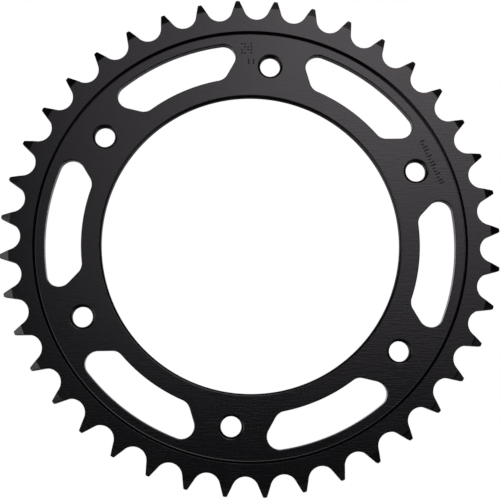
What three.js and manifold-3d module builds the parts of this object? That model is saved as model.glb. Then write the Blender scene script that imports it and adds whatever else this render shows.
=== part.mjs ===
// Rear chain sprocket of a motorcycle: one flat steel ring, toothed outside and bolted to the hub.
// Millimetres, +Z up. The wheel axle is the Y axis and the outer face looks along -Y.
// The origin is on the axle, midway through the toothed rim, which is the chain's centre plane.

import * as THREE from "three";
import { mergeVertices } from "three/addons/utils/BufferGeometryUtils.js";
import Module from "manifold-3d";

const degrees = Math.PI / 180;

// Chain and teeth
const toothCount = 40;
const chainPitch = 15.875; // from one roller to the next
const rollerDiameter = 10.16;
const seatClearance = 0.52; // the seat's radius beyond the roller's
const flankAngle = 20 * degrees; // of each straight flank from the tooth's centre line
const tipLand = 1.55; // across the flat tip, before its corners are rounded
const tipCornerRadius = 0.6;

// Plate, seen in section
const rimThickness = 5.9; // fits between the chain's inner plates
const stepDepth = 1.3; // how far the outer face drops inside the rim
const stepInset = 5.1; // from the root circle in to the top of the step
const stepSlope = 55 * degrees; // of the step's cone from the outer face
const stepFillet = 0.65; // at the foot of the step
const tipChamferWidth = 3.9; // of the cone on each side of the tips, measured along the radius
const tipChamferDrop = 1.2; // how far each cone falls at the tips

// Hub fit
const boreDiameter = 125.2;
const boreChamfer = 0.7;
const boltCount = 6;
const boltInset = 13.8; // from the bore's edge to the bolt circle
const boltHoleDiameter = 8.5; // clears an M8 stud
const boltHoleChamfer = 0.9;

// Lightening slots between the bolt holes
const innerBand = 8.4; // from the bore's edge to the slots
const outerBand = 3.55; // from the foot of the step in to the slots
const webHalfWidth = 15.4; // from a bolt hole's centre to the slot beside it
const slotEndSlant = 23 * degrees; // of each slot's end from the bolt's radius
const slotCornerRadius = 5.3;

// How the ring is turned on its axle at rest
const toothClocking = 83.97 * degrees; // from +X towards +Z to the first tooth
const boltLag = 0.29 * degrees; // the first bolt hole lies this far behind the first tooth

// How finely the curves are cut into flats
const chordTolerance = 0.035;
const turnedSides = 4 * toothCount;
const cutterOverrun = 1.0; // how far each cutter runs past what it cuts

// Worked out from the sizes above
const pitchRadius = chainPitch / (2 * Math.sin(Math.PI / toothCount));
const rootRadius = pitchRadius - rollerDiameter / 2;
const seatRadius = rollerDiameter / 2 + seatClearance;
const halfPitch = Math.PI / toothCount;
const seatCentre = polar(rootRadius + seatRadius, halfPitch);
const flankNormal = polar(1, Math.PI / 2 - flankAngle);
const flankOffset = seatCentre.dot(flankNormal) - seatRadius;
const tipRadius = (flankOffset - (tipLand / 2) * flankNormal.y) / flankNormal.x;
const tipCorner = Math.min(tipCornerRadius, tipLand / 2);
const stepTopRadius = rootRadius - stepInset;
const stepCorner = Math.min(stepFillet, stepDepth);
const stepReach = stepDepth / Math.tan(stepSlope) + stepCorner * Math.tan(stepSlope / 2);
const stepFootRadius = stepTopRadius - stepReach;
const boreRadius = boreDiameter / 2;
const boltCircleRadius = boreRadius + boltInset;
const slotInnerRadius = boreRadius + innerBand;
const slotOuterRadius = stepFootRadius - outerBand;
const cornerLimit = (slotOuterRadius - slotInnerRadius) * 0.4;
const slotCorner = Math.min(slotCornerRadius, cornerLimit);

const backFace = rimThickness / 2; // against the hub, at +Y
const rimFront = -rimThickness / 2;
const plateFront = rimFront + stepDepth;

const wasm = await Module();
wasm.setup();

function polar(radius, angle) {
  return new THREE.Vector2(radius * Math.cos(angle), radius * Math.sin(angle));
}

// Points along an arc, both ends included, no flat further than chordTolerance from the curve.
function arc(centre, radius, from, to) {
  const flat = 2 * Math.acos(1 - Math.min(chordTolerance / radius, 1));
  const steps = Math.max(2, Math.ceil(Math.abs(to - from) / flat));
  return Array.from({ length: steps + 1 }, (_, i) =>
    polar(radius, from + ((to - from) * i) / steps).add(centre),
  );
}

function mirrored(points) {
  return points.map((p) => new THREE.Vector2(p.x, -p.y)).reverse();
}

function turned(points, angle) {
  return points.map((p) => p.clone().rotateAround(new THREE.Vector2(), angle));
}

// A closed geometry as a solid that can be joined and cut.
function solid(geometry) {
  geometry.deleteAttribute("normal");
  geometry.deleteAttribute("uv");
  const merged = mergeVertices(geometry);
  const mesh = new wasm.Mesh({
    numProp: 3,
    vertProperties: merged.attributes.position.array,
    triVerts: new Uint32Array(merged.index.array),
  });
  return new wasm.Manifold(mesh);
}

// An outline drawn in X and Z, as a cutter that runs past both faces of the plate.
function prism(outline) {
  const depth = rimThickness + 2 * cutterOverrun;
  const shape = new THREE.Shape(outline);
  const geometry = new THREE.ExtrudeGeometry(shape, { depth, bevelEnabled: false });
  geometry.rotateX(Math.PI / 2);
  geometry.translate(0, depth / 2, 0);
  return solid(geometry);
}

// The outline from the bottom of one gap up to the tip beside it. The tooth's centre line is +X,
// and the gap is on its +Y side: half a roller seat, a straight flank and the tip's corner.
function halfTooth() {
  const cornerDistance = tipRadius - tipCorner;
  const cornerAngle = Math.asin((flankOffset - tipCorner) / cornerDistance) - flankAngle;
  const cornerCentre = polar(cornerDistance, cornerAngle);
  return [
    ...arc(seatCentre, seatRadius, Math.PI + halfPitch, 1.5 * Math.PI - flankAngle),
    ...arc(cornerCentre, tipCorner, Math.PI / 2 - flankAngle, cornerAngle),
  ];
}

function toothedOutline() {
  const half = halfTooth();
  const tooth = [...mirrored(half).reverse(), ...half.slice(1).reverse()];
  return Array.from({ length: toothCount }, (_, i) => turned(tooth, 2 * i * halfPitch)).flat();
}

// The ring as turned: flat back, stepped front, and a cone on both sides that thins the tips.
// The cones run on past the tips, so the toothed outline cuts them off.
function turnedBlank() {
  const coneStart = tipRadius - tipChamferWidth;
  const coneSlope = tipChamferDrop / tipChamferWidth;
  const coneEnd = tipRadius + cutterOverrun;
  const coneFall = (coneEnd - coneStart) * coneSlope;
  const filletCentre = new THREE.Vector2(stepFootRadius, plateFront - stepCorner);
  const profile = [
    ...arc(filletCentre, stepCorner, Math.PI / 2, Math.PI / 2 - stepSlope),
    new THREE.Vector2(stepTopRadius, rimFront),
    new THREE.Vector2(coneStart, rimFront),
    new THREE.Vector2(coneEnd, rimFront + coneFall),
    new THREE.Vector2(coneEnd, backFace - coneFall),
    new THREE.Vector2(coneStart, backFace),
    new THREE.Vector2(boreRadius + boreChamfer, backFace),
    new THREE.Vector2(boreRadius, backFace - boreChamfer),
    new THREE.Vector2(boreRadius, plateFront + boreChamfer),
    new THREE.Vector2(boreRadius + boreChamfer, plateFront),
  ];
  return solid(new THREE.LatheGeometry([...profile, profile[0]], turnedSides));
}

// A drill with a countersink at each face, on the bolt circle.
function boltHoleCutter(angle) {
  const radius = boltHoleDiameter / 2;
  const flare = boltHoleChamfer + cutterOverrun;
  const profile = [
    new THREE.Vector2(0, plateFront - cutterOverrun),
    new THREE.Vector2(radius + flare, plateFront - cutterOverrun),
    new THREE.Vector2(radius, plateFront + boltHoleChamfer),
    new THREE.Vector2(radius, backFace - boltHoleChamfer),
    new THREE.Vector2(radius + flare, backFace + cutterOverrun),
    new THREE.Vector2(0, backFace + cutterOverrun),
  ];
  const sides = arc(new THREE.Vector2(), radius, 0, 2 * Math.PI).length - 1;
  const place = polar(boltCircleRadius, angle);
  return solid(new THREE.LatheGeometry(profile, sides).translate(place.x, 0, place.y));
}

// One slot, its middle on +X: two arcs about the axle, joined by slanted ends with round corners.
// The end is worked out beside a bolt hole on +X, then turned half a bolt spacing.
function slotOutline() {
  const halfSpacing = Math.PI / boltCount;
  const endNormal = polar(1, Math.PI / 2 - slotEndSlant);
  const endOffset = new THREE.Vector2(boltCircleRadius, webHalfWidth).dot(endNormal) + slotCorner;
  const outerDistance = slotOuterRadius - slotCorner;
  const innerDistance = slotInnerRadius + slotCorner;
  const outerAngle = Math.asin(endOffset / outerDistance) - slotEndSlant;
  const innerAngle = Math.asin(endOffset / innerDistance) - slotEndSlant;
  const axle = new THREE.Vector2();
  const endDirection = -Math.PI / 2 - slotEndSlant;
  const half = [
    ...arc(axle, slotOuterRadius, halfSpacing, outerAngle).slice(0, -1),
    ...arc(polar(outerDistance, outerAngle), slotCorner, outerAngle, endDirection),
    ...arc(polar(innerDistance, innerAngle), slotCorner, endDirection, innerAngle - Math.PI),
    ...arc(axle, slotInnerRadius, innerAngle, halfSpacing).slice(1),
  ];
  const lower = turned(half, -halfSpacing);
  return [...lower, ...mirrored(lower).slice(1, -1)];
}

function sprocketSolid() {
  const slot = slotOutline();
  const spacing = (2 * Math.PI) / boltCount;
  let ring = turnedBlank().intersect(prism(toothedOutline()));
  for (let i = 0; i < boltCount; i += 1) {
    const boltAngle = i * spacing - boltLag;
    ring = ring.subtract(boltHoleCutter(boltAngle));
    ring = ring.subtract(prism(turned(slot, boltAngle + spacing / 2)));
  }
  return ring;
}

function geometryOf(ring) {
  const { vertProperties, triVerts } = ring.getMesh();
  const geometry = new THREE.BufferGeometry();
  geometry.setAttribute("position", new THREE.BufferAttribute(vertProperties, 3));
  geometry.setIndex(new THREE.BufferAttribute(triVerts, 1));
  geometry.computeVertexNormals();
  return geometry;
}

// Satin black coating over steel
const blackCoating = new THREE.MeshStandardMaterial({
  color: 0x151418,
  roughness: 0.42,
  metalness: 0.2,
});

const sprocket = new THREE.Mesh(geometryOf(sprocketSolid()), blackCoating);
sprocket.name = "rear_sprocket";
sprocket.rotation.y = -toothClocking;

const rearSprocket = new THREE.Group();
rearSprocket.add(sprocket);

export default rearSprocket;
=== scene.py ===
"""The looks of the rear sprocket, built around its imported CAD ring.

Lengths named here are millimetres, and become metres when a mesh or light is made. The wheel axle
is the Y axis, the outer face looks along -Y and +Z is up, as in the CAD model. An angle round the
axle runs from +X towards +Z.
"""

import math

import bmesh
import bpy
from mathutils import Matrix, Vector
from mathutils.geometry import delaunay_2d_cdt


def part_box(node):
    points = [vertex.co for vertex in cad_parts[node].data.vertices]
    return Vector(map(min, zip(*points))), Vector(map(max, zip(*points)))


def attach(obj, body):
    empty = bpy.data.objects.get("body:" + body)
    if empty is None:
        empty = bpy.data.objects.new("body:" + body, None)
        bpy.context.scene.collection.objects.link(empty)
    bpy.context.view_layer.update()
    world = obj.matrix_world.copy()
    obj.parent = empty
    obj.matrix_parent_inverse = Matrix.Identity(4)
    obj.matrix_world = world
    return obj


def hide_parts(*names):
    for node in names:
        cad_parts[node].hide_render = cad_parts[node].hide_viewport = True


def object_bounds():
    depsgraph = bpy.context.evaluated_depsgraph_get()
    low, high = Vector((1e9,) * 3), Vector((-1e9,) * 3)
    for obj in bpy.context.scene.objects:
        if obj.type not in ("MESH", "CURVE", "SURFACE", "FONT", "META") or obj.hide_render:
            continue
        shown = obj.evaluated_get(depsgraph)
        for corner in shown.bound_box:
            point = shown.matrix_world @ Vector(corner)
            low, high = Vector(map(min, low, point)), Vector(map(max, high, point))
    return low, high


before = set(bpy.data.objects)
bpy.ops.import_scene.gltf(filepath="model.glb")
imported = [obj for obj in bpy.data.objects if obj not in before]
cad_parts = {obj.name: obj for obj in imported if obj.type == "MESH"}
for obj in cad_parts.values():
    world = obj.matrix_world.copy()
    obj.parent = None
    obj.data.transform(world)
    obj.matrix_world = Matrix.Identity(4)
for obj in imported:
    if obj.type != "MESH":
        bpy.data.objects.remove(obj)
cad_low, cad_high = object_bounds()

METRES = 0.001
NODE = "rear_sprocket"

# Chain and teeth, as in the CAD model
TOOTH_COUNT = 40
CHAIN_PITCH = 15.875
ROLLER_DIAMETER = 10.16
SEAT_CLEARANCE = 0.52
FLANK_ANGLE = math.radians(20)
TIP_LAND = 1.55
TIP_CORNER = 0.6
TOOTH_CLOCKING = math.radians(83.97)

# Plate, as in the CAD model
STEP_DEPTH = 1.3
STEP_INSET = 5.1
STEP_SLOPE = math.radians(55)
STEP_FILLET = 0.65
TIP_CHAMFER_WIDTH = 3.9
TIP_CHAMFER_DROP = 1.2

# Hub fit and slots, as in the CAD model
BORE_DIAMETER = 125.2
BORE_CHAMFER = 0.7
BOLT_COUNT = 6
BOLT_INSET = 13.8
BOLT_HOLE_DIAMETER = 8.5
BOLT_HOLE_CHAMFER = 0.9
BOLT_LAG = math.radians(0.29)
INNER_BAND = 8.4
OUTER_BAND = 3.55
WEB_HALF_WIDTH = 15.4
SLOT_END_SLANT = math.radians(23)
SLOT_CORNER = 5.3

# Fine edges that the CAD model leaves sharp
TOOTH_EDGE = 0.22
SLOT_EDGE = 0.38
STEP_LIP = 0.15
CREASE_SOFTENING = 0.25
CHAMFER_SOFTENING = 0.2
CHAMFER_SHARE = 0.7  # of the softening, along each leg of a 45 degree chamfer
WALL_BAND = 0.12  # a narrow band of wall next to an edge, which keeps the wall's shading flat
MARK_EDGE = 0.05
MARK_EDGE_SHARE = 0.3  # of MARK_EDGE, where the rounding's middle lies
MARK_DRAFT = 0.03  # how far a groove's floor stands in from its mouth
MARK_DEPTH = 0.16

# How many flats each curve is cut into
SEAT_FLATS = 9
TIP_CORNER_FLATS = 4
EDGE_FLATS = 4
FILLET_FLATS = 6
LIP_FLATS = 4
TIP_CONE_ROWS = 3
BORE_FLATS = 360
BOLT_HOLE_FLATS = 64
SLOT_OUTER_FLATS = 28
SLOT_INNER_FLATS = 22
SLOT_OUTER_CORNER_FLATS = 18
SLOT_INNER_CORNER_FLATS = 9
DOT_FLATS = 12
STROKE_END_FLATS = 8

SAME_POINT = 1e-6  # points closer than this are one point

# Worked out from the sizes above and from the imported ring
ring_low, ring_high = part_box(NODE)
RIM_FRONT = ring_low.y / METRES
BACK_FACE = ring_high.y / METRES
PLATE_FRONT = RIM_FRONT + STEP_DEPTH
PITCH_ANGLE = 2 * math.pi / TOOTH_COUNT
ROOT_RADIUS = CHAIN_PITCH / (2 * math.sin(PITCH_ANGLE / 2)) - ROLLER_DIAMETER / 2
SEAT_RADIUS = ROLLER_DIAMETER / 2 + SEAT_CLEARANCE
STEP_TOP = ROOT_RADIUS - STEP_INSET
STEP_FOOT = STEP_TOP - STEP_DEPTH / math.tan(STEP_SLOPE) - STEP_FILLET * math.tan(STEP_SLOPE / 2)
BORE_RADIUS = BORE_DIAMETER / 2
BOLT_CIRCLE = BORE_RADIUS + BOLT_INSET
FIRST_BOLT = TOOTH_CLOCKING - BOLT_LAG
BOLT_SPACING = 2 * math.pi / BOLT_COUNT
SLOT_INNER = BORE_RADIUS + INNER_BAND
SLOT_OUTER = STEP_FOOT - OUTER_BAND


# ---------------------------------------------------------------- plane geometry


def polar(radius, angle):
    return Vector((radius * math.cos(angle), radius * math.sin(angle)))


def steps(start, end, count):
    """count + 1 evenly spaced numbers, both ends included."""
    return [start + (end - start) * i / count for i in range(count + 1)]


def turned(outline, angle):
    """An outline of (point, normal) pairs, turned round the axle."""
    turn = Matrix.Rotation(angle, 2)
    return [(turn @ point, turn @ normal) for point, normal in outline]


def mirrored(outline):
    """An outline reflected in its +X line, in reverse order."""
    return [(Vector((p.x, -p.y)), Vector((n.x, -n.y))) for p, n in reversed(outline)]


def arc(centre, radius, start, end, count, outward=1):
    """An arc as (point, normal) pairs. The normals point away from the steel: outward is -1 where
    the steel surrounds the arc."""
    return [
        (centre + polar(radius, angle), polar(outward, angle))
        for angle in steps(start, end, count)
    ]


FLANK_NORMAL = polar(1, math.pi / 2 - FLANK_ANGLE)
SEAT_CENTRE = polar(ROOT_RADIUS + SEAT_RADIUS, PITCH_ANGLE / 2)
FLANK_OFFSET = SEAT_CENTRE.dot(FLANK_NORMAL) - SEAT_RADIUS
TIP_RADIUS = (FLANK_OFFSET - TIP_LAND / 2 * FLANK_NORMAL.y) / FLANK_NORMAL.x
CONE_START = TIP_RADIUS - TIP_CHAMFER_WIDTH
CONE_SLOPE = TIP_CHAMFER_DROP / TIP_CHAMFER_WIDTH


def half_tooth():
    """Half a tooth's outline, from the bottom of the gap up to the tip, for a tooth on +X.

    The flank has points where the inner edge of its rounding crosses the tip cone's crease."""
    gap_angle = PITCH_ANGLE / 2
    seat_end_angle = 1.5 * math.pi - FLANK_ANGLE
    seat = arc(SEAT_CENTRE, SEAT_RADIUS, math.pi + gap_angle, seat_end_angle, SEAT_FLATS, -1)

    corner_distance = TIP_RADIUS - TIP_CORNER
    corner_angle = math.asin((FLANK_OFFSET - TIP_CORNER) / corner_distance) - FLANK_ANGLE
    corner_centre = polar(corner_distance, corner_angle)
    corner_start_angle = math.pi / 2 - FLANK_ANGLE
    corner = arc(corner_centre, TIP_CORNER, corner_start_angle, corner_angle, TIP_CORNER_FLATS)

    inner_offset = FLANK_OFFSET - TOOTH_EDGE
    seat_end = (seat[-1][0] - FLANK_NORMAL * TOOTH_EDGE).length
    corner_start = (corner[0][0] - FLANK_NORMAL * TOOTH_EDGE).length
    crease_low = CONE_START - CREASE_SOFTENING
    crease_high = CONE_START + CREASE_SOFTENING
    flank = []
    for radius in (
        (seat_end + crease_low) / 2,
        crease_low,
        CONE_START,
        crease_high,
        (crease_high + corner_start) / 2,
    ):
        inner = polar(radius, math.asin(inner_offset / radius) - FLANK_ANGLE)
        flank.append((inner + FLANK_NORMAL * TOOTH_EDGE, FLANK_NORMAL))

    tip = [(polar(TIP_RADIUS, 0), polar(1, 0))]
    return seat + flank + corner + tip


def toothed_outline():
    """The whole rim's outline, tooth after tooth, each point given once."""
    half = half_tooth()
    rising = [(Vector((p.x, -p.y)), Vector((n.x, -n.y))) for p, n in half]
    falling = half[::-1][1:-1]
    outline = []
    for tooth in range(TOOTH_COUNT):
        outline += turned(rising + falling, TOOTH_CLOCKING + tooth * PITCH_ANGLE)
    return outline


def slot_outline():
    """A slot with its middle on +X: two arcs about the axle and slanted ends with round corners.

    The end is worked out beside a bolt hole on +X, then turned half a bolt spacing."""
    half_spacing = BOLT_SPACING / 2
    end_normal = polar(1, math.pi / 2 - SLOT_END_SLANT)
    end_offset = Vector((BOLT_CIRCLE, WEB_HALF_WIDTH)).dot(end_normal) + SLOT_CORNER
    outer_distance = SLOT_OUTER - SLOT_CORNER
    inner_distance = SLOT_INNER + SLOT_CORNER
    outer_angle = math.asin(end_offset / outer_distance) - SLOT_END_SLANT
    inner_angle = math.asin(end_offset / inner_distance) - SLOT_END_SLANT
    end_direction = -math.pi / 2 - SLOT_END_SLANT
    outer_corner = arc(
        polar(outer_distance, outer_angle),
        SLOT_CORNER,
        outer_angle,
        end_direction,
        SLOT_OUTER_CORNER_FLATS,
        -1,
    )
    inner_corner = arc(
        polar(inner_distance, inner_angle),
        SLOT_CORNER,
        end_direction,
        inner_angle - math.pi,
        SLOT_INNER_CORNER_FLATS,
        -1,
    )
    axle = Vector((0, 0))
    half = (
        arc(axle, SLOT_OUTER, half_spacing, outer_angle, SLOT_OUTER_FLATS, -1)[:-1]
        + outer_corner
        + inner_corner
        + arc(axle, SLOT_INNER, inner_angle, half_spacing, SLOT_INNER_FLATS)[1:]
    )
    lower = turned(half, -half_spacing)
    return lower + mirrored(lower)[1:-1]


def circle_outline(centre, radius, count):
    """A hole's outline, with normals into the hole."""
    return arc(centre, radius, 0, 2 * math.pi, count, -1)[:-1]


def stadium_outline(start, end, radius):
    """A groove's outline: a straight stroke with round ends, with normals into the groove."""
    direction = end - start
    heading = math.atan2(direction.y, direction.x)
    quarter = math.pi / 2
    far = arc(end, radius, heading - quarter, heading + quarter, STROKE_END_FLATS, -1)
    near = arc(start, radius, heading + quarter, heading + 3 * quarter, STROKE_END_FLATS, -1)
    return far + near


# ---------------------------------------------------------------- edges, as (inset, drop) pairs


def rounded_edge(radius):
    """From the face over a quarter circle onto the wall, then a little way down it."""
    angles = steps(0, math.pi / 2, EDGE_FLATS)
    roll = [(radius * (1 - math.sin(a)), radius * (1 - math.cos(a))) for a in angles]
    return roll + [(0, radius + WALL_BAND)]


def chamfered_edge(width, softening):
    """From the face over a 45 degree chamfer onto the wall, with its two creases softened."""
    near = CHAMFER_SHARE * softening
    return [
        (width + softening, 0),
        (width - near, near),
        (near, width - near),
        (0, width + softening),
        (0, width + softening + WALL_BAND),
    ]


def groove_edge():
    """From the face down a stamped groove's side."""
    return [
        (MARK_EDGE, 0),
        (MARK_EDGE * MARK_EDGE_SHARE, MARK_EDGE * MARK_EDGE_SHARE),
        (0, MARK_EDGE),
        (-MARK_DRAFT, MARK_DEPTH),
    ]


# ---------------------------------------------------------------- the mesh


class Shell:
    """The points and faces of one closed mesh, gathered in millimetres before Blender makes it."""

    def __init__(self):
        self.points = []
        self.worn = []
        self.faces = []

    def point(self, x, y, z, worn=0.0):
        self.points.append((x, y, z))
        self.worn.append(worn)
        return len(self.points) - 1

    def extend(self, column, here, worn=0.0):
        """Add a point to the end of a column, or repeat the last one if it is already there."""
        if column and (Vector(self.points[column[-1]]) - here).length < SAME_POINT:
            column.append(column[-1])
        else:
            column.append(self.point(*here, worn))

    def face(self, corners, finish, smooth):
        """A face, without corners that repeat their neighbour."""
        kept = [c for i, c in enumerate(corners) if c != corners[i - 1]]
        if len(set(kept)) >= 3:
            self.faces.append((kept, finish, smooth))

    def bridge(self, columns, looks):
        """Faces between neighbouring columns of points. looks gives each row's finish and
        whether it is smooth."""
        for i, column in enumerate(columns):
            before = columns[i - 1]
            for row, (finish, smooth) in enumerate(looks):
                corners = (before[row], column[row], column[row + 1], before[row + 1])
                self.face(corners, finish, smooth)

    def fill(self, outer, holes, finish):
        """Flat faces inside the outer loop and outside each hole loop."""
        loops = [outer] + holes
        used = [index for loop in loops for index in loop]
        owner = [number for number, loop in enumerate(loops) for _ in loop]
        flat = [Vector((self.points[i][0], self.points[i][2])) for i in used]
        edges = []
        for loop in loops:
            first = len(edges)
            edges += [(first + i, first + (i + 1) % len(loop)) for i in range(len(loop))]
        polygons = [[(self.points[i][0], self.points[i][2]) for i in loop] for loop in loops]
        _, _, triangles, sources, _, _ = delaunay_2d_cdt(flat, edges, [], 0, SAME_POINT, True)
        for triangle in triangles:
            corners = [sources[corner][0] for corner in triangle]
            owners = {owner[corner] for corner in corners}
            if len(owners) == 1 and owners != {0}:
                middle = sum((flat[c] for c in corners), Vector((0, 0))) / 3
                if inside(polygons[owners.pop()], middle):
                    continue
            self.face([used[c] for c in corners], finish, False)


def inside(polygon, point):
    """Whether a point lies inside a polygon, by counting the edges it is left of."""
    odd = False
    for (ax, ay), (bx, by) in zip(polygon, polygon[1:] + polygon[:1]):
        if (ay > point.y) != (by > point.y):
            if point.x < ax + (point.y - ay) / (by - ay) * (bx - ax):
                odd = not odd
    return odd


# The second finish is for the bore and bolt hole walls: a duller copy of the coating, with its
# colour darkened as painted shade for the hollows.
COATING, SHADED_WALL, STAMPED = 0, 1, 2
WORN_ROWS = 0.02  # an edge row this far from both the face and the wall is on the rounding


def wear(inset, drop):
    """1 on an edge's rounding, where the coating rubs, and 0 on the face and the wall."""
    return 1.0 if inset > WORN_ROWS and drop > WORN_ROWS else 0.0


def wall_through(shell, outline, edge, finish):
    """The wall of a hole from the plate's front to its back. The finish is the wall's own: on the
    bore and bolt holes, a duller copy of the coating whose darker colour is painted shade. Its edges
    are coated like the faces. Returns its front and back loops."""
    columns = []
    for point, normal in outline:
        column = []
        for face_y, into in ((PLATE_FRONT, 1), (BACK_FACE, -1)):
            rows = edge if into > 0 else edge[::-1]
            for inset, drop in rows:
                x, z = point - normal * inset
                column.append(shell.point(x, face_y + into * drop, z, wear(inset, drop)))
        columns.append(column)
    around_edge = [(COATING, True)] * (len(edge) - 1)
    shell.bridge(columns, around_edge + [(finish, True)] + around_edge)
    return [column[0] for column in columns], [column[-1] for column in columns]


def cone_drop(radius):
    """How far the rim's face has fallen at a radius: flat, then the tip cone past a soft crease."""
    past = radius - (CONE_START - CREASE_SOFTENING)
    if past <= 0:
        return 0.0
    if past < 2 * CREASE_SOFTENING:
        return CONE_SLOPE * past * past / (4 * CREASE_SOFTENING)
    return CONE_SLOPE * (radius - CONE_START)


def step_rows():
    """(radius, y) up the step, from its foot over the fillet, up its cone and over a rounded lip
    to the rim's front."""
    foot_centre = Vector((STEP_FOOT, 0))
    foot_end = math.pi / 2 - STEP_SLOPE
    foot = arc(foot_centre, STEP_FILLET, math.pi / 2, foot_end, FILLET_FLATS)
    rows = [(p.x, PLATE_FRONT - STEP_FILLET + p.y) for p, _ in foot]
    lip_centre = Vector((STEP_TOP + STEP_LIP * math.tan(STEP_SLOPE / 2), 0))
    lip_start = -math.pi / 2 - STEP_SLOPE
    lip = arc(lip_centre, STEP_LIP, lip_start, -math.pi / 2, LIP_FLATS)
    rows += [(p.x, RIM_FRONT + STEP_LIP + p.y) for p, _ in lip]
    return rows


def rim_radii(limit):
    """Radii across the rim out to a limit, then across the tip cone. Rows past the limit sit on
    it, so that every column has as many rows."""
    crease = [CONE_START - CREASE_SOFTENING, CONE_START, CONE_START + CREASE_SOFTENING]
    across = [min(radius, limit) for radius in [(STEP_TOP + ROOT_RADIUS) / 2] + crease]
    return across + steps(across[-1], limit, TIP_CONE_ROWS)[1:]


def standing(flat, y):
    """A point of the plan, set at a place along the axle."""
    return Vector((flat.x, y, flat.y))


def toothed_rim(shell):
    """The rim in section after section round the axle: up the step, over the tooth's edge, across
    its wall and back down the other face. Returns its front and back loops."""
    step = step_rows()
    edge = rounded_edge(TOOTH_EDGE)
    columns = []
    for point, normal in toothed_outline():
        inner = point - normal * TOOTH_EDGE
        limit = inner.length
        direction = inner / limit
        front_edge = RIM_FRONT + cone_drop(limit)
        back_edge = BACK_FACE - cone_drop(limit)
        column = []
        for radius, y in step:
            shell.extend(column, standing(direction * radius, y))
        for radius in rim_radii(limit):
            y = RIM_FRONT + cone_drop(radius)
            shell.extend(column, standing(direction * radius, y))
        for inset, drop in edge[1:]:
            here = standing(point - normal * inset, front_edge + drop)
            shell.extend(column, here, wear(inset, drop))
        for inset, drop in edge[:0:-1]:
            here = standing(point - normal * inset, back_edge - drop)
            shell.extend(column, here, wear(inset, drop))
        for radius in rim_radii(limit)[::-1]:
            y = BACK_FACE - cone_drop(radius)
            shell.extend(column, standing(direction * radius, y))
        columns.append(column)

    # The two rows just past the step and the last row on the back lie flat, inside the tip cones.
    flat_rows = {len(step) - 1, len(step), len(columns[0]) - 2}
    looks = [(COATING, row not in flat_rows) for row in range(len(columns[0]) - 1)]
    shell.bridge(columns, looks)
    return [column[0] for column in columns], [column[-1] for column in columns]


# ---------------------------------------------------------------- stamped marks

STROKE_HALF_WIDTH = 0.27
BAR_MARK_RADIUS = 83.1  # to the feet of the strokes
BAR_MARK_LEAD = math.radians(0.6)  # how far past the bolt hole their middle is
BAR_SPACING = 1.4
BAR_HEIGHTS = (2.3, 1.3, 2.3, 2.3, 1.3, 2.3, 1.3, 2.3, 2.3, 1.3, 1.3, 2.3, 1.3, 2.3, 2.3)
DOT_MARK_RADIUS = 83.8
DOT_MARK_LEAD = math.radians(7.4)  # how far past the top bolt hole the dots are
DOT_SPACING = 1.35
DOT_ROWS = ("xx.x", ".xxx", "x.xx", "xx.x")
DOT_RADIUS = 0.36
PAIR_DROP = 6.9  # from the middle of the dots down to the two strokes under them
PAIR_SHIFTS = (0.7, 2.8)
PAIR_HEIGHT = 2.3


def mark_frame(angle, radius):
    """A mark's origin, its direction clockwise round the axle, and its direction outwards."""
    out = polar(1, angle)
    return polar(radius, angle), Vector((out.y, -out.x)), out


def stroke(foot, direction, height):
    return stadium_outline(
        foot + direction * STROKE_HALF_WIDTH,
        foot + direction * (height - STROKE_HALF_WIDTH),
        STROKE_HALF_WIDTH,
    )


def bar_marks():
    """A row of plain strokes outside the bolt hole on the right."""
    origin, along, out = mark_frame(FIRST_BOLT - BOLT_SPACING + BAR_MARK_LEAD, BAR_MARK_RADIUS)
    middle = (len(BAR_HEIGHTS) - 1) / 2
    return [
        stroke(origin + along * (number - middle) * BAR_SPACING, out, height)
        for number, height in enumerate(BAR_HEIGHTS)
    ]


def dot_marks():
    """A small patch of dots with two strokes under it, beside the top bolt hole."""
    origin, along, out = mark_frame(FIRST_BOLT + DOT_MARK_LEAD, DOT_MARK_RADIUS)
    outlines = []
    for row, pattern in enumerate(DOT_ROWS):
        for number, dot in enumerate(pattern):
            if dot == "x":
                across = (number - (len(pattern) - 1) / 2) * DOT_SPACING
                down = (row - (len(DOT_ROWS) - 1) / 2) * DOT_SPACING
                centre = origin + along * across - out * down
                outlines.append(circle_outline(centre, DOT_RADIUS, DOT_FLATS))
    for shift in PAIR_SHIFTS:
        outlines.append(stroke(origin + along * shift - out * PAIR_DROP, out, PAIR_HEIGHT))
    return outlines


def stamp(shell, outline):
    """One stamped groove in the plate's front. Returns its loop on the face."""
    columns = []
    for point, normal in outline:
        column = []
        for inset, drop in groove_edge():
            x, z = point - normal * inset
            column.append(shell.point(x, PLATE_FRONT + drop, z))
        columns.append(column)
    shell.bridge(columns, [(STAMPED, True)] * (len(columns[0]) - 1))
    shell.face([column[-1] for column in columns], STAMPED, False)
    return [column[0] for column in columns]


# ---------------------------------------------------------------- the ring


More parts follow.
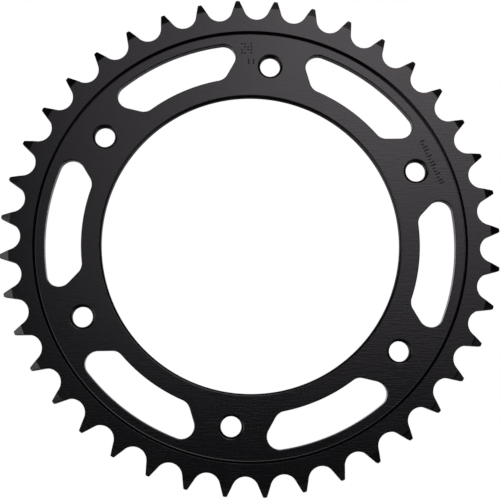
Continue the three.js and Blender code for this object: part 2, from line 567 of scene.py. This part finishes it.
def sprocket_shell():
    shell = Shell()
    front_outer, back_outer = toothed_rim(shell)
    front_holes, back_holes = [], []

    bore_edge = chamfered_edge(BORE_CHAMFER, CHAMFER_SOFTENING)
    hole_edge = chamfered_edge(BOLT_HOLE_CHAMFER, CHAMFER_SOFTENING)
    # The bore and bolt hole walls take the duller copy of the coating that is darkened as painted
    # shade.
    walls = [(circle_outline(Vector((0, 0)), BORE_RADIUS, BORE_FLATS), bore_edge, SHADED_WALL)]
    slot_edge = rounded_edge(SLOT_EDGE)
    slot = slot_outline()
    for number in range(BOLT_COUNT):
        bolt_angle = FIRST_BOLT + number * BOLT_SPACING
        centre = polar(BOLT_CIRCLE, bolt_angle)
        hole = circle_outline(centre, BOLT_HOLE_DIAMETER / 2, BOLT_HOLE_FLATS)
        walls.append((hole, hole_edge, SHADED_WALL))
        walls.append((turned(slot, bolt_angle + BOLT_SPACING / 2), slot_edge, COATING))
    for outline, edge, finish in walls:
        front, back = wall_through(shell, outline, edge, finish)
        front_holes.append(front)
        back_holes.append(back)

    front_holes += [stamp(shell, outline) for outline in bar_marks() + dot_marks()]
    shell.fill(front_outer, front_holes, COATING)
    shell.fill(back_outer, back_holes, COATING)
    return shell


def make_mesh(shell, name, materials):
    mesh = bpy.data.meshes.new(name)
    points = [(x * METRES, y * METRES, z * METRES) for x, y, z in shell.points]
    mesh.from_pydata(points, [], [corners for corners, _, _ in shell.faces])
    mesh.polygons.foreach_set("material_index", [finish for _, finish, _ in shell.faces])
    mesh.polygons.foreach_set("use_smooth", [smooth for _, _, smooth in shell.faces])
    worn = mesh.attributes.new("worn", "FLOAT", "POINT")
    worn.data.foreach_set("value", shell.worn)
    solid = bmesh.new()
    solid.from_mesh(mesh)
    bmesh.ops.recalc_face_normals(solid, faces=solid.faces)
    solid.to_mesh(mesh)
    solid.free()
    for material in materials:
        mesh.materials.append(material)
    ring = bpy.data.objects.new(name, mesh)
    bpy.context.scene.collection.objects.link(ring)
    return ring


# ---------------------------------------------------------------- coating

GROUND_STRETCH = (0.1, 1, 1)  # the grinding marks run along X, ten times as long as wide
GROUND_SIZE = 0.5
GROUND_HEIGHT = 0.028
GRAIN_SIZE = 0.55
GRAIN_HEIGHT = 0.0016
GRAIN_ROUGHNESS = 0.05  # how far the grain moves the roughness either way
CLOUD_SIZE = 24.0
CLOUD_ROUGHNESS = 0.03
CLOUD_DARK, CLOUD_LIGHT = 0.8, 1.25  # the colour's share in the darkest and lightest clouds
RUBBED_SIZE = 2.5
RUBBED_COLOUR = (0.16, 0.155, 0.15, 1)


class Nodes:
    """Short calls for one node tree."""

    def __init__(self, tree):
        self.tree = tree
        tree.nodes.clear()

    def add(self, kind, inputs=None, **settings):
        node = self.tree.nodes.new(kind)
        for key, value in settings.items():
            setattr(node, key, value)
        for key, value in (inputs or {}).items():
            if isinstance(value, bpy.types.NodeSocket):
                self.tree.links.new(value, node.inputs[key])
            else:
                node.inputs[key].default_value = value
        return node

    def noise(self, where, size_mm, detail=3.0, roughness=0.5):
        """Noise whose features are about size_mm across."""
        inputs = {
            "Vector": where,
            "Scale": 1 / (size_mm * METRES),
            "Detail": detail,
            "Roughness": roughness,
        }
        return self.add("ShaderNodeTexNoise", inputs).outputs["Fac"]

    def spread(self, value, low, high):
        """A 0 to 1 value spread over a range."""
        inputs = {"Value": value, "To Min": low, "To Max": high}
        return self.add("ShaderNodeMapRange", inputs).outputs["Result"]

    def maths(self, operation, a, b):
        return self.add("ShaderNodeMath", {0: a, 1: b}, operation=operation).outputs[0]

    def mix(self, factor, a, b):
        node = self.add("ShaderNodeMix", {"Factor": factor}, data_type="RGBA")
        for socket, value in ((node.inputs[6], a), (node.inputs[7], b)):
            if isinstance(value, bpy.types.NodeSocket):
                self.tree.links.new(value, socket)
            else:
                socket.default_value = value
        return node.outputs[2]


def black_coating(name, colour, roughness, specular, worn_amount):
    """Satin black coating: fine orange peel over a plate ground lengthwise, soft cloudiness, and
    edges rubbed a little lighter."""
    material = bpy.data.materials.new(name)
    material.use_nodes = True
    n = Nodes(material.node_tree)
    where = n.add("ShaderNodeTexCoord").outputs["Object"]
    along_x = n.add("ShaderNodeMapping", {"Vector": where, "Scale": GROUND_STRETCH}).outputs[0]
    ground = n.noise(along_x, GROUND_SIZE, 1.0)
    grain = n.noise(where, GRAIN_SIZE, 2.0)
    cloud = n.noise(where, CLOUD_SIZE, 3.0)
    rubbed = n.noise(where, RUBBED_SIZE, 4.0, 0.6)

    dark = (*[c * CLOUD_DARK for c in colour], 1)
    light = (*[c * CLOUD_LIGHT for c in colour], 1)
    base = n.mix(cloud, dark, light)
    worn = n.add("ShaderNodeAttribute", attribute_name="worn").outputs["Fac"]
    amount = n.maths("MULTIPLY", worn, n.spread(rubbed, 0.0, 2 * worn_amount))
    base = n.mix(amount, base, RUBBED_COLOUR)

    rough = n.spread(grain, roughness - GRAIN_ROUGHNESS, roughness + GRAIN_ROUGHNESS)
    rough = n.maths("ADD", rough, n.spread(cloud, -CLOUD_ROUGHNESS, CLOUD_ROUGHNESS))
    grain_height = n.maths("MULTIPLY", grain, GRAIN_HEIGHT)
    ground_height = n.maths("MULTIPLY", ground, GROUND_HEIGHT)
    height = n.maths("ADD", grain_height, ground_height)
    bump = n.add("ShaderNodeBump", {"Height": height, "Distance": METRES}).outputs["Normal"]
    shader = n.add(
        "ShaderNodeBsdfPrincipled",
        {
            "Base Color": base,
            "Roughness": rough,
            "IOR": 1.5,
            "Specular IOR Level": specular,
            "Normal": bump,
        },
    )
    n.add("ShaderNodeOutputMaterial", {"Surface": shader.outputs[0]})
    return material


# ---------------------------------------------------------------- studio

BACKDROP_WHITE = (1.0, 1.0, 1.0, 1.0)
WALL_COLOUR = (0.97, 0.91, 1.0, 1)
WALL_BEHIND = (0.3, 0.8)  # how far round to the back the wall starts and ends brightening, as a sine
WALL_RISE = (-0.32, 0.12)  # sine of the elevation where it starts and ends brightening
WALL_SIDES = (0.04, 0.3)  # how far to either side it starts and ends fading, as a sine too
WALL_GLOW = 1.3  # its strength straight behind the ring
SIDE_GLOW = 0.2  # the share of that left at the sides
FLOOR_HALF = 4.0  # half the floor's side, in metres


def studio_world():
    """White to the camera. To the ring it is a dark room with a bright patch of wall straight
    behind, which fades below the ring and to the sides."""
    world = bpy.data.worlds.new("studio")
    bpy.context.scene.world = world
    world.use_nodes = True
    n = Nodes(world.node_tree)
    direction = n.add("ShaderNodeTexCoord").outputs["Generated"]
    parts = n.add("ShaderNodeSeparateXYZ", {"Vector": direction})

    def ramp(value, start, end):
        limits = {"Value": value, "From Min": start, "From Max": end}
        node = n.add("ShaderNodeMapRange", limits, interpolation_type="SMOOTHSTEP")
        return node.outputs["Result"]

    behind = ramp(parts.outputs["Y"], *WALL_BEHIND)
    above = ramp(parts.outputs["Z"], *WALL_RISE)
    beside = ramp(n.maths("ABSOLUTE", parts.outputs["X"], 0.0), *WALL_SIDES)
    middle = n.spread(beside, WALL_GLOW, WALL_GLOW * SIDE_GLOW)
    glow = n.maths("MULTIPLY", n.maths("MULTIPLY", behind, above), middle)
    around = n.add("ShaderNodeBackground", {"Color": WALL_COLOUR, "Strength": glow})
    seen = n.add("ShaderNodeBackground", {"Color": BACKDROP_WHITE, "Strength": 1.0})
    camera_ray = n.add("ShaderNodeLightPath").outputs["Is Camera Ray"]
    mixed = n.add("ShaderNodeMixShader", {0: camera_ray, 1: around.outputs[0], 2: seen.outputs[0]})
    n.add("ShaderNodeOutputWorld", {"Surface": mixed.outputs[0]})


def pale_floor():
    """A plain white floor under the lowest teeth. Only the camera sees it: it neither lights nor
    shades the ring."""
    mesh = bpy.data.meshes.new("floor")
    sides = ((-1, -1), (1, -1), (1, 1), (-1, 1))
    corners = [(x * FLOOR_HALF, y * FLOOR_HALF, cad_low.z) for x, y in sides]
    mesh.from_pydata(corners, [], [(0, 1, 2, 3)])
    floor = bpy.data.objects.new("floor", mesh)
    bpy.context.scene.collection.objects.link(floor)
    material = bpy.data.materials.new("floor_white")
    material.use_nodes = True
    n = Nodes(material.node_tree)
    white = n.add("ShaderNodeEmission", {"Color": BACKDROP_WHITE, "Strength": 1.0})
    n.add("ShaderNodeOutputMaterial", {"Surface": white.outputs[0]})
    mesh.materials.append(material)
    floor.visible_glossy = False
    floor.visible_diffuse = False
    floor.visible_shadow = False


LIGHT_DISTANCE = 1.6


def soft_light(name, azimuth, elevation, width, height, watts, colour):
    """A rectangular light that faces the ring, placed and sized in degrees as the ring sees it.
    Azimuth 0 is straight in front and 90 is from +X."""
    light = bpy.data.lights.new(name, "AREA")
    light.shape = "RECTANGLE"
    light.size = 2 * LIGHT_DISTANCE * math.tan(math.radians(width / 2))
    light.size_y = 2 * LIGHT_DISTANCE * math.tan(math.radians(height / 2))
    light.energy = watts
    light.color = colour
    lamp = bpy.data.objects.new(name, light)
    lamp.visible_camera = False
    across, rise = math.radians(azimuth), math.radians(elevation)
    flat = math.cos(rise)
    towards = Vector((flat * math.sin(across), -flat * math.cos(across), math.sin(rise)))
    lamp.location = towards * LIGHT_DISTANCE
    lamp.rotation_euler = towards.to_track_quat("Z", "Y").to_euler()
    bpy.context.scene.collection.objects.link(lamp)
    return lamp


def studio_lights():
    """A softbox above the camera with a dim scrim under it, a strip that the left tips pick up,
    and a faint fill for the lowest tips. The last four are for views from the sides and the back,
    and add a little in front, most of it on the upper right of the step."""
    soft_light("softbox", 12, 30.5, 22, 38, 3.5, (1.0, 0.9, 0.95))
    soft_light("scrim", 9, 21.4, 40, 40.6, 3.95, (0.97, 0.91, 1.0))
    soft_light("left_strip", -44, -4, 25, 29, 4.3, (1.0, 0.98, 1.0))
    soft_light("low_fill", -4, -38, 50, 16, 0.5, (0.95, 0.95, 1.0))
    soft_light("low_right", 58, -26, 30, 34, 1.3, (0.97, 0.96, 1.0))
    soft_light("low_left", -70, -30, 30, 30, 0.9, (0.97, 0.96, 1.0))
    soft_light("back_right", 135, -12, 42, 44, 4.0, (0.97, 0.96, 1.0))
    soft_light("back_left", -135, -12, 42, 44, 4.0, (0.97, 0.96, 1.0))


# ---------------------------------------------------------------- camera

CAMERA_DISTANCE = 0.4994
CAMERA_PITCH = 0.1222  # the lens looks up by this angle, in radians
CAMERA_YAW = 0.0259  # and this far towards +X
CAMERA_SHIFT = (-0.0022, -0.0145)  # of the sensor's width, for the framing
SENSOR = 36.0
FOCAL_LENGTH = 86.18
NEAREST_SEEN = 0.01


def camera():
    """The viewing angle of a product picture: nearly face on, from a little below and left."""
    data = bpy.data.cameras.new("camera")
    data.sensor_width = SENSOR
    data.lens = FOCAL_LENGTH
    data.shift_x, data.shift_y = CAMERA_SHIFT
    data.clip_start = NEAREST_SEEN
    lens = bpy.data.objects.new("camera", data)
    bpy.context.scene.collection.objects.link(lens)
    pitch_cos, pitch_sin = math.cos(CAMERA_PITCH), math.sin(CAMERA_PITCH)
    yaw_cos, yaw_sin = math.cos(CAMERA_YAW), math.sin(CAMERA_YAW)
    forward = Vector((yaw_sin, pitch_cos * yaw_cos, pitch_sin * yaw_cos))
    right = Vector((yaw_cos, -pitch_cos * yaw_sin, -pitch_sin * yaw_sin))
    up = right.cross(forward)
    aim = Vector((0, RIM_FRONT * METRES, 0))
    turn = Matrix((right, up, -forward)).transposed().to_4x4()
    lens.matrix_world = Matrix.Translation(aim - forward * CAMERA_DISTANCE) @ turn
    bpy.context.scene.camera = lens


# ---------------------------------------------------------------- the scene

coating = black_coating("black_coating", (0.0027, 0.0023, 0.003), 0.245, 0.5, 0.03)
# The bore and bolt hole walls: a rougher, less glossy copy of the coating, with its darker colour
# painted shade.
shaded_walls = black_coating("black_coating_shaded_wall", (0.0006, 0.0006, 0.0007), 0.5, 0.1, 0.0)
stamped = black_coating("black_coating_stamped", (0.0026, 0.0024, 0.0028), 0.5, 0.4, 0.0)
ring = make_mesh(sprocket_shell(), "sprocket_ring", [coating, shaded_walls, stamped])
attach(ring, "root")
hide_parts(NODE)

studio_world()
pale_floor()
studio_lights()
camera()
bpy.context.scene.view_settings.view_transform = "Standard"
